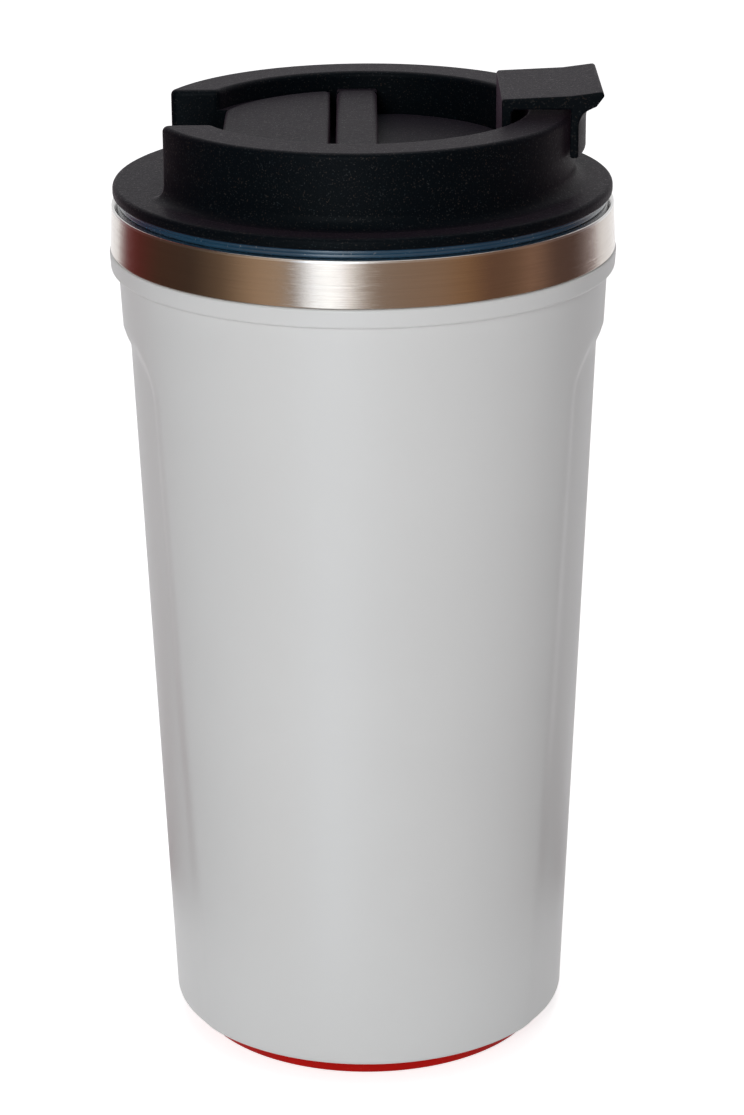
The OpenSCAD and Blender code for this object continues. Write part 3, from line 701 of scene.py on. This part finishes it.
def ledge(side):
    bm = bmesh.new()
    top = collar_top - LEDGE_DROP
    outer = WELL_R + 0.5 * MM
    points = [(LEDGE_R, floor_top - 0.3 * MM), (outer, floor_top - 0.3 * MM), (outer, top), (LEDGE_R, top)]
    start = math.acos(deck_high_x / LEDGE_R)
    end = math.pi - math.asin(NOTCH_HALF / LEDGE_R)
    turn = Matrix.Rotation(start, 4, "Z")
    verts = [bm.verts.new(turn @ Vector((r, 0, z))) for r, z in points]
    face = bm.faces.new(verts)
    bmesh.ops.spin(bm, geom=[face] + list(face.edges) + verts, cent=(0, 0, 0), axis=(0, 0, 1),
                   dvec=(0, 0, 0), angle=end - start, steps=40, use_merge=False)
    for v in bm.verts:
        radius = v.co.xy.length
        bearing = math.atan2(v.co.y, v.co.x)
        if bearing > end - 1e-4:
            v.co.y = NOTCH_HALF
            v.co.x = -math.sqrt(radius ** 2 - NOTCH_HALF ** 2)
        elif bearing < start + 1e-4:
            v.co.x = deck_high_x
            v.co.y = math.sqrt(radius ** 2 - deck_high_x ** 2)
    bmesh.ops.recalc_face_normals(bm, faces=bm.faces)
    round_off(bm, ring_edges(bm, LEDGE_R, top), 0.5 * MM, 4)
    if side < 0:
        bmesh.ops.scale(bm, vec=(1, -1, 1), verts=bm.verts)
        bmesh.ops.reverse_faces(bm, faces=bm.faces)
    return bm


def saddle(side):
    bm = bmesh.new()
    near_y = deck_r + 0.35 * MM
    far_y = math.sqrt(WELL_R ** 2 - RIDGE_HALF ** 2) + 0.3 * MM
    top = hinge.z + 1.6 * MM
    size = (2 * RIDGE_HALF, far_y - near_y, top - floor_top)
    place = Matrix.Translation((hinge.x, side * (near_y + far_y) / 2, (top + floor_top) / 2))
    bmesh.ops.create_cube(bm, size=1, matrix=place @ Matrix.Diagonal((*size, 1)))
    round_off(bm, list(bm.edges), 0.4 * MM, 3)
    return bm


def join(parts):
    """One bmesh from several."""
    whole = bmesh.new()
    for part in parts:
        spare = bpy.data.meshes.new("part")
        part.to_mesh(spare)
        part.free()
        whole.from_mesh(spare)
        bpy.data.meshes.remove(spare)
    return whole


def lid_body():
    parts = [flange_disc(), collar(), ledge(1), ledge(-1), saddle(1), saddle(-1)]
    return add_piece(join(parts), "lid_body", "lid_top", "lid", BLACK, 38)


lid_body()

# %% [markdown]
# ## The panel beside the hinge
# A half-round cover that lies level with the hinge ridge. Its outline is a slice of a disc with rounded
# corners, which is lifted and rounded along the top.

# %% Half-round panel
def disc_slice(bm, radius, low_x, high_x, corner, height):
    """A face between two straight cuts of a disc, with its four corners rounded."""
    middles = [(x, math.sqrt((radius - corner) ** 2 - x ** 2)) for x in (high_x - corner, low_x + corner)]
    turns = [math.degrees(math.atan2(y, x)) for x, y in middles]
    half = (arc(middles[0], corner, 0, turns[0], 7) + arc((0, 0), radius, turns[0], turns[1], 60)[1:]
            + arc(middles[1], corner, turns[1], 180, 7)[1:])
    points = half + [(x, -y) for x, y in reversed(half)]
    face = bm.faces.new([bm.verts.new((x, y, height)) for x, y in points])
    face.normal_update()
    if face.normal.z < 0:
        face.normal_flip()
    return face


def solid_from(bm, face, height):
    """Turns a face into a closed block of that height and returns its top."""
    made = bmesh.ops.extrude_face_region(bm, geom=[face], use_keep_orig=True)
    top = [g for g in made["geom"] if isinstance(g, bmesh.types.BMFace)][0]
    bmesh.ops.translate(bm, verts=list(top.verts), vec=(0, 0, height))
    if top.normal.z < 0:
        top.normal_flip()
    return top


def panel():
    bm = bmesh.new()
    edge = 0.7 * MM
    face = disc_slice(bm, deck_r, deck_low_x, deck_high_x, 1.2 * MM, floor_top)
    top = solid_from(bm, face, deck_top - edge - floor_top)
    climb(bm, top, round_steps(edge, 6))
    bmesh.ops.recalc_face_normals(bm, faces=bm.faces)
    return add_piece(bm, "half_round_panel", "deck_cover", "lid", BLACK, 45)


panel()

# %% [markdown]
# ## The lever
# One moulding: a ridge over the hinge pin, a plate that presses the stoppers down, and an arch that
# straddles the collar and ends in a thumb lip. The arch is its side outline pulled across the lid. Its
# outer leg is then bent to follow the collar.

# %% Lever with ridge, plate and arch
ARCH_HALF = 12.5 * MM
INNER_X = 24.1 * MM
INNER_T = 1.6 * MM
ROOF_T = 1.9 * MM
LEG_IN = COLLAR_R + 0.35 * MM
LEG_OUT = LEG_IN + 1.4 * MM
PLATE_R = 27.05 * MM
plate_top = 2 * hinge.z - deck_top - 0.4 * MM
plate_low = plate_top - 2 * MM
roof_low = collar_top + 1.7 * MM
roof_top = roof_low + ROOF_T


def box_part(low_corner, high_corner, edge, segments=4):
    bm = bmesh.new()
    middle = [(a + b) / 2 for a, b in zip(low_corner, high_corner)]
    size = [b - a for a, b in zip(low_corner, high_corner)]
    bmesh.ops.create_cube(bm, size=1, matrix=Matrix.Translation(middle) @ Matrix.Diagonal((*size, 1)))
    round_off(bm, list(bm.edges), edge, segments)
    return bm


def arch_part():
    leg_low_z = collar_top - 6.9 * MM
    tip_z = roof_top + 1.1 * MM
    throat = 4 * MM
    throat_start = math.degrees(math.acos((tip_x - 0.24 * MM - LEG_OUT - throat) / throat))
    small = 0.5 * MM
    leg_end = INNER_X + INNER_T
    side = ([(leg_end, plate_top - small), (INNER_X, plate_top - small)]
            + arc((INNER_X + small, roof_top - small), small, 180, 90, 4)
            + [(LEG_IN - 2 * MM, roof_top + 0.45 * MM)]
            + arc((tip_x - 0.62 * MM, tip_z - 0.62 * MM), 0.62 * MM, 95, -40, 7)
            + arc((LEG_OUT + throat, roof_low - 3.15 * MM), throat, throat_start, 180, 9)
            + arc((LEG_OUT - small, leg_low_z + small), small, 0, -90, 4)
            + arc((LEG_IN + small, leg_low_z + small), small, -90, -180, 4)
            + [(LEG_IN, roof_low - small), (LEG_IN - small, roof_low), (leg_end + small, roof_low),
               (leg_end, roof_low - small)])
    bm = bmesh.new()
    face = bm.faces.new([bm.verts.new((x, 0, z)) for x, z in side])
    made = bmesh.ops.extrude_face_region(bm, geom=[face], use_keep_orig=True)
    other = [g for g in made["geom"] if isinstance(g, bmesh.types.BMFace)][0]
    face.normal_update()
    other.normal_update()
    edge = 0.3 * MM
    for cap, way in ((face, -1), (other, 1)):
        if cap.normal.y * way < 0:
            cap.normal_flip()
        bmesh.ops.translate(bm, verts=list(cap.verts), vec=(0, way * (ARCH_HALF - edge), 0))
        climb(bm, cap, round_steps(edge, 3))
    bmesh.ops.recalc_face_normals(bm, faces=bm.faces)
    for row in range(1, 14):
        geometry = list(bm.verts) + list(bm.edges) + list(bm.faces)
        bmesh.ops.bisect_plane(bm, geom=geometry, plane_co=(0, ARCH_HALF * (row / 7 - 1), 0),
                               plane_no=(0, 1, 0), dist=1e-7)
    for v in bm.verts:
        share = min(max((v.co.x - 30 * MM) / (6 * MM), 0), 1)
        down = min(max((roof_top - v.co.z) / (2.5 * MM), 0), 1)
        radius = max(v.co.x, 30 * MM)
        v.co.x -= share * down * (radius - math.sqrt(radius ** 2 - v.co.y ** 2))
    return bm


def plate_part():
    bm = bmesh.new()
    bmesh.ops.create_circle(bm, cap_ends=True, radius=PLATE_R, segments=160,
                            matrix=Matrix.Translation((0, 0, plate_low)))
    limits = (((hinge.x, 0, 0), (-1, 0, 0)), ((0, deck_r, 0), (0, 1, 0)), ((0, -deck_r, 0), (0, -1, 0)))
    for place, outwards in limits:
        geometry = list(bm.verts) + list(bm.edges) + list(bm.faces)
        bmesh.ops.bisect_plane(bm, geom=geometry, plane_co=place, plane_no=outwards, clear_outer=True,
                               dist=1e-7)
    solid_from(bm, bm.faces[:][0], plate_top - plate_low)
    bmesh.ops.recalc_face_normals(bm, faces=bm.faces)
    rims = [e for e in bm.edges if abs(e.verts[0].co.z - e.verts[1].co.z) < 1e-6]
    round_off(bm, rims, 0.3 * MM, 2)
    return bm


def lever():
    ridge = box_part((hinge.x - RIDGE_HALF, -deck_r, hinge.z - 2.9 * MM),
                     (hinge.x + RIDGE_HALF, deck_r, deck_top), 1.15 * MM, 5)
    web = box_part((hinge.x - 0.2 * MM, -deck_r + 0.2 * MM, plate_low), (hinge.x + RIDGE_HALF - 0.05 * MM,
                   deck_r - 0.2 * MM, hinge.z), 0.3 * MM, 2)
    parts = [ridge, web, plate_part(), arch_part()]
    return add_piece(join(parts), "sealing_lever", "flip_lever", "lever", BLACK, 38)


lever()

# %% [markdown]
# ## Table, light and camera
# A pale sweep stands in for the table. It glows a little to the camera only, so it reads as white and
# still takes the mug's shadow. Broad soft lamps light the mug from the front left, the right and above.

# %% Floor
def seen_rays(tree):
    """1 for the rays that show the background: from the camera, and in metal and through glass."""
    path = tree.nodes.new("ShaderNodeLightPath")
    total = path.outputs["Is Camera Ray"]
    for kind in ("Is Glossy Ray", "Is Transmission Ray"):
        either = tree.nodes.new("ShaderNodeMath")
        either.operation = "MAXIMUM"
        tree.links.new(total, either.inputs[0])
        tree.links.new(path.outputs[kind], either.inputs[1])
        total = either.outputs[0]
    return total


def floor():
    bm = bmesh.new()
    bmesh.ops.create_grid(bm, x_segments=2, y_segments=2, size=4)
    bmesh.ops.translate(bm, verts=bm.verts, vec=(0, 0, -0.0002))
    f = Finish("pale_table")
    f.set(Base_Color=(0.86, 0.86, 0.86), Roughness=0.8, Specular_IOR_Level=0.0,
          Emission_Color=(1, 1, 1))
    ray = seen_rays(f.material.node_tree)
    glow = f.make("ShaderNodeEmission", {}, {"Color": (1, 1, 1), "Strength": 0.7})
    both = f.nodes.new("ShaderNodeAddShader")
    f.links.new(f.surface.outputs[0], both.inputs[0])
    f.links.new(glow.socket, both.inputs[1])
    choose = f.nodes.new("ShaderNodeMixShader")
    f.links.new(ray, choose.inputs[0])
    f.links.new(f.surface.outputs[0], choose.inputs[1])
    f.links.new(both.outputs[0], choose.inputs[2])
    f.links.new(choose.outputs[0], f.nodes["Material Output"].inputs[0])
    table = bare_object(bm, "pale_table")
    table.data.materials.append(f.material)


floor()

# %% [markdown]
# Bare steel has no look of its own: it shows the room. A ring of glowing card stands round the front, and
# only reflections see it, so its glow paints the reflections on the steel and the lid. Its tones follow the
# bearing round the mug: a painted bright window a little left of the middle, wooden browns beside it, and darker
# corners.

# %% Glowing reflection card
REFLECTION_GLOW_TONES = [
    (-140, (0.80, 0.74, 0.75)), (-129, (0.24, 0.08, 0.08)), (-118, (0.15, 0.035, 0.03)),
    (-100, (0.09, 0.045, 0.03)), (-78, (0.08, 0.05, 0.035)), (-62, (0.19, 0.125, 0.08)),
    (-46, (0.54, 0.37, 0.24)), (-34, (0.58, 0.42, 0.29)), (-28, (0.36, 0.32, 0.30)),
    (-22, (1.90, 2.10, 2.30)), (-10, (1.90, 2.05, 2.20)), (-4, (0.85, 0.82, 0.80)),
    (3, (0.36, 0.27, 0.21)), (33, (0.37, 0.24, 0.16)), (44, (0.36, 0.20, 0.10)), (55, (0.19, 0.10, 0.065)),
    (67, (0.21, 0.12, 0.075)), (78, (0.36, 0.21, 0.14)), (90, (0.15, 0.09, 0.07)),
    (108, (0.13, 0.08, 0.065)), (126, (0.62, 0.53, 0.53)),
]


def reflection_card():
    first = REFLECTION_GLOW_TONES[0][0]
    span = REFLECTION_GLOW_TONES[-1][0] - first
    bm = bmesh.new()
    start = Matrix.Rotation(math.radians(first), 4, "Z")
    outline = [(0.075, 0.0006), (0.34, 0.0006), (0.42, 0.08), (0.42, 0.80)]
    verts = [bm.verts.new(start @ Vector((0, -radius, z))) for radius, z in outline]
    edges = [bm.edges.new(pair) for pair in zip(verts, verts[1:])]
    bmesh.ops.spin(bm, geom=verts + edges, cent=(0, 0, 0), axis=(0, 0, 1), dvec=(0, 0, 0),
                   angle=math.radians(span), steps=80, use_merge=False)
    f = Finish("glowing_reflection_card")
    axes = f.nodes.new("ShaderNodeSeparateXYZ")
    f.feed(axes.inputs[0], f.place())
    across = Sock(f, axes.outputs["X"])
    ahead = Sock(f, axes.outputs["Y"]) * -1
    bearing = f.make("ShaderNodeMath", {"operation": "ARCTAN2"}, {0: across, 1: ahead})
    share = (bearing * (180 / math.pi) - first) / span
    stops = [((turn - first) / span, colour) for turn, colour in REFLECTION_GLOW_TONES]
    tone = f.make("ShaderNodeValToRGB", {"stops": stops}, {"Fac": share})
    # The glow paints the reflections: the window band glows brighter than white, the browns and corners dimmer.
    glow = f.make("ShaderNodeEmission", {}, {"Color": tone, "Strength": 1.0})
    f.links.new(glow.socket, f.nodes["Material Output"].inputs[0])
    card = bare_object(bm, "glowing_reflection_card")
    card.data.materials.append(f.material)
    for kind in ("camera", "diffuse", "transmission", "volume_scatter", "shadow"):
        setattr(card, "visible_" + kind, False)


reflection_card()

# %% Lamps and world
def lamp(name, place, aim, size, power, colour=(1, 1, 1), height=None):
    data = bpy.data.lights.new(name, "AREA")
    data.energy = power
    data.color = colour
    data.shape = "RECTANGLE"
    data.size = size
    data.size_y = height or size
    thing = bpy.data.objects.new(name, data)
    thing.location = place
    thing.rotation_euler = (Vector(aim) - Vector(place)).to_track_quat("-Z", "Y").to_euler()
    bpy.context.scene.collection.objects.link(thing)


lamp("key", (-0.30, -1.55, 0.52), (0, 0, 0.07), 0.30, 13.4, (0.985, 1.0, 1.0), 1.0)
lamp("fill_right", (1.4, -0.6, 0.6), (0, 0, 0.1), 0.8, 0.8, (1.0, 0.98, 0.96))
lamp("fill_left", (-1.4, -0.3, 0.6), (0, 0, 0.1), 0.8, 0.6, (0.97, 0.99, 1.0))
lamp("top", (0, 0.5, 1.3), (0, 0, 0.15), 0.8, 5.5, (1.0, 0.95, 0.98))

world = bpy.data.worlds.new("soft_room")
bpy.context.scene.world = world
world.use_nodes = True
tree = world.node_tree
room = tree.nodes["Background"]
room.inputs["Color"].default_value = (0.205, 0.207, 0.21, 1)
white = tree.nodes.new("ShaderNodeBackground")
white.inputs["Color"].default_value = (1, 1, 1, 1)
mix = tree.nodes.new("ShaderNodeMixShader")
tree.links.new(seen_rays(tree), mix.inputs[0])
tree.links.new(room.outputs[0], mix.inputs[1])
tree.links.new(white.outputs[0], mix.inputs[2])
tree.links.new(mix.outputs[0], tree.nodes["World Output"].inputs[0])

# %% Camera
camera_data = bpy.data.cameras.new("camera")
camera_data.lens = 112.96
camera_data.sensor_width = 36
camera_data.sensor_fit = "AUTO"
camera_data.shift_x = 0.0058
camera_data.clip_start = 0.01
camera = bpy.data.objects.new("camera", camera_data)
camera.location = (0, -0.6055, 0.3046)
camera.rotation_euler = (math.radians(90 - 19.62), math.radians(0), 0)
bpy.context.scene.collection.objects.link(camera)
camera.rotation_euler.rotate_axis("Z", math.radians(-0.47))
bpy.context.scene.camera = camera
bpy.context.scene.view_settings.view_transform = "Standard"
